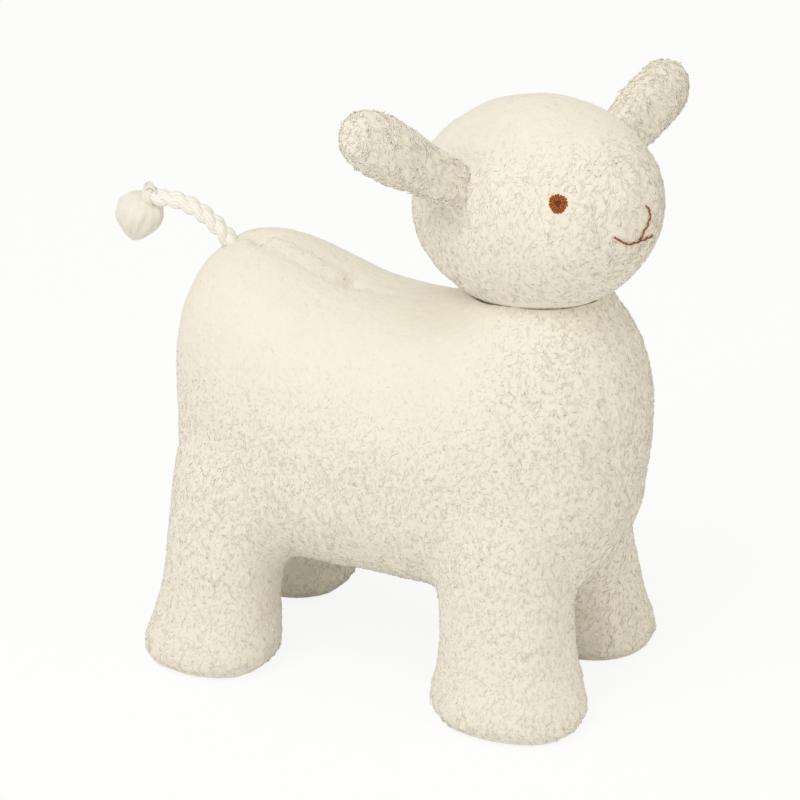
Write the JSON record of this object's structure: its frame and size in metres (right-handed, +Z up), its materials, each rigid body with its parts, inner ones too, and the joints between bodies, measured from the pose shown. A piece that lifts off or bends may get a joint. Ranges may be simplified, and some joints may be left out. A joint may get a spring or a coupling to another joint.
{
  "type": "plush sheep",
  "caption": "Stuffed sheep toy of curly cream pile fabric, standing on short legs with its head turned, with soft ears and a cord tail.",
  "frame": {"origin": "on the ground, under the middle of the overall box with the tail left out", "axes": "+Z up, +X from the rump towards the chest, +Y towards the toy's own left side"},
  "size_m": [0.2572, 0.1819, 0.2781],
  "materials": {
    "pile": "curly sherpa pile, matt",
    "filling": "loose fibre",
    "seam_thread": "sewing thread",
    "face_thread": "satin embroidery thread",
    "cord": "braided cotton cord"
  },
  "bodies": {
    "trunk": {"side_panel_left": "pile", "side_panel_right": "pile", "belly_gusset": "pile", "body_filling": "filling", "closing_thread": "seam_thread"},
    "neck": {"neck_filling": "filling", "neck_thread": "seam_thread"},
    "head": {"head_panel_left": "pile", "head_panel_right": "pile", "head_filling": "filling", "eye_left": "face_thread", "eye_right": "face_thread", "mouth_stitch": "face_thread", "nose_stitch": "face_thread"},
    "ear_left": {"ear_left_back": "pile", "ear_left_front": "pile"},
    "ear_right": {"ear_right_back": "pile", "ear_right_front": "pile"},
    "tail": {"tail_cord": "cord", "tail_whipping": "cord", "tail_tuft": "cord"},
    "leg_front_left": {"leg_front_left_cover": "pile", "leg_front_left_filling": "filling", "sole_front_left": "pile"},
    "leg_front_right": {"leg_front_right_cover": "pile", "leg_front_right_filling": "filling", "sole_front_right": "pile"},
    "leg_rear_left": {"leg_rear_left_cover": "pile", "leg_rear_left_filling": "filling", "sole_rear_left": "pile"},
    "leg_rear_right": {"leg_rear_right_cover": "pile", "leg_rear_right_filling": "filling", "sole_rear_right": "pile"}
  },
  "joints": [
    {"name": "head_turn", "type": "hinge", "parent": "trunk", "child": "neck", "pos_m": [0.05531, -0.015, 0.2034], "axis": [-0.2184, 0.2356, 0.947], "range_deg": [-25, 25], "stiffness_Nm_per_rad": 1.5},
    {"name": "head_nod", "type": "hinge", "parent": "neck", "child": "head", "pos_m": [0.05531, -0.015, 0.2034], "axis": [0.4008, 0.9064, -0.1331], "range_deg": [-5, 5], "stiffness_Nm_per_rad": 3},
    {"name": "ear_left_flex", "type": "hinge", "parent": "head", "child": "ear_left", "pos_m": [0.06038, 0.0287, 0.22326], "axis": [-0.8966, 0.3346, -0.29], "range_deg": [-15, 15], "stiffness_Nm_per_rad": 0.3},
    {"name": "ear_right_flex", "type": "hinge", "parent": "head", "child": "ear_right", "pos_m": [0.02912, -0.04201, 0.23365], "axis": [0.8826, -0.3663, 0.2947], "range_deg": [-15, 15], "stiffness_Nm_per_rad": 0.3},
    {"name": "tail_swing", "type": "hinge", "parent": "trunk", "child": "tail", "pos_m": [-0.0878, -0.017, 0.1786], "axis": [0.722, 0, 0.6919], "range_deg": [-30, 30], "stiffness_Nm_per_rad": 0.08},
    {"name": "leg_front_left_flex", "type": "hinge", "parent": "trunk", "child": "leg_front_left", "pos_m": [0.0531, 0.014, 0.082], "axis": [0, 1, 0], "range_deg": [-8, 8], "stiffness_Nm_per_rad": 8},
    {"name": "leg_front_right_flex", "type": "hinge", "parent": "trunk", "child": "leg_front_right", "pos_m": [0.0531, -0.048, 0.082], "axis": [0, 1, 0], "range_deg": [-8, 8], "stiffness_Nm_per_rad": 8},
    {"name": "leg_rear_left_flex", "type": "hinge", "parent": "trunk", "child": "leg_rear_left", "pos_m": [-0.0729, 0.014, 0.082], "axis": [0, 1, 0], "range_deg": [-8, 8], "stiffness_Nm_per_rad": 8},
    {"name": "leg_rear_right_flex", "type": "hinge", "parent": "trunk", "child": "leg_rear_right", "pos_m": [-0.0729, -0.048, 0.082], "axis": [0, 1, 0], "range_deg": [-8, 8], "stiffness_Nm_per_rad": 8}
  ]
}
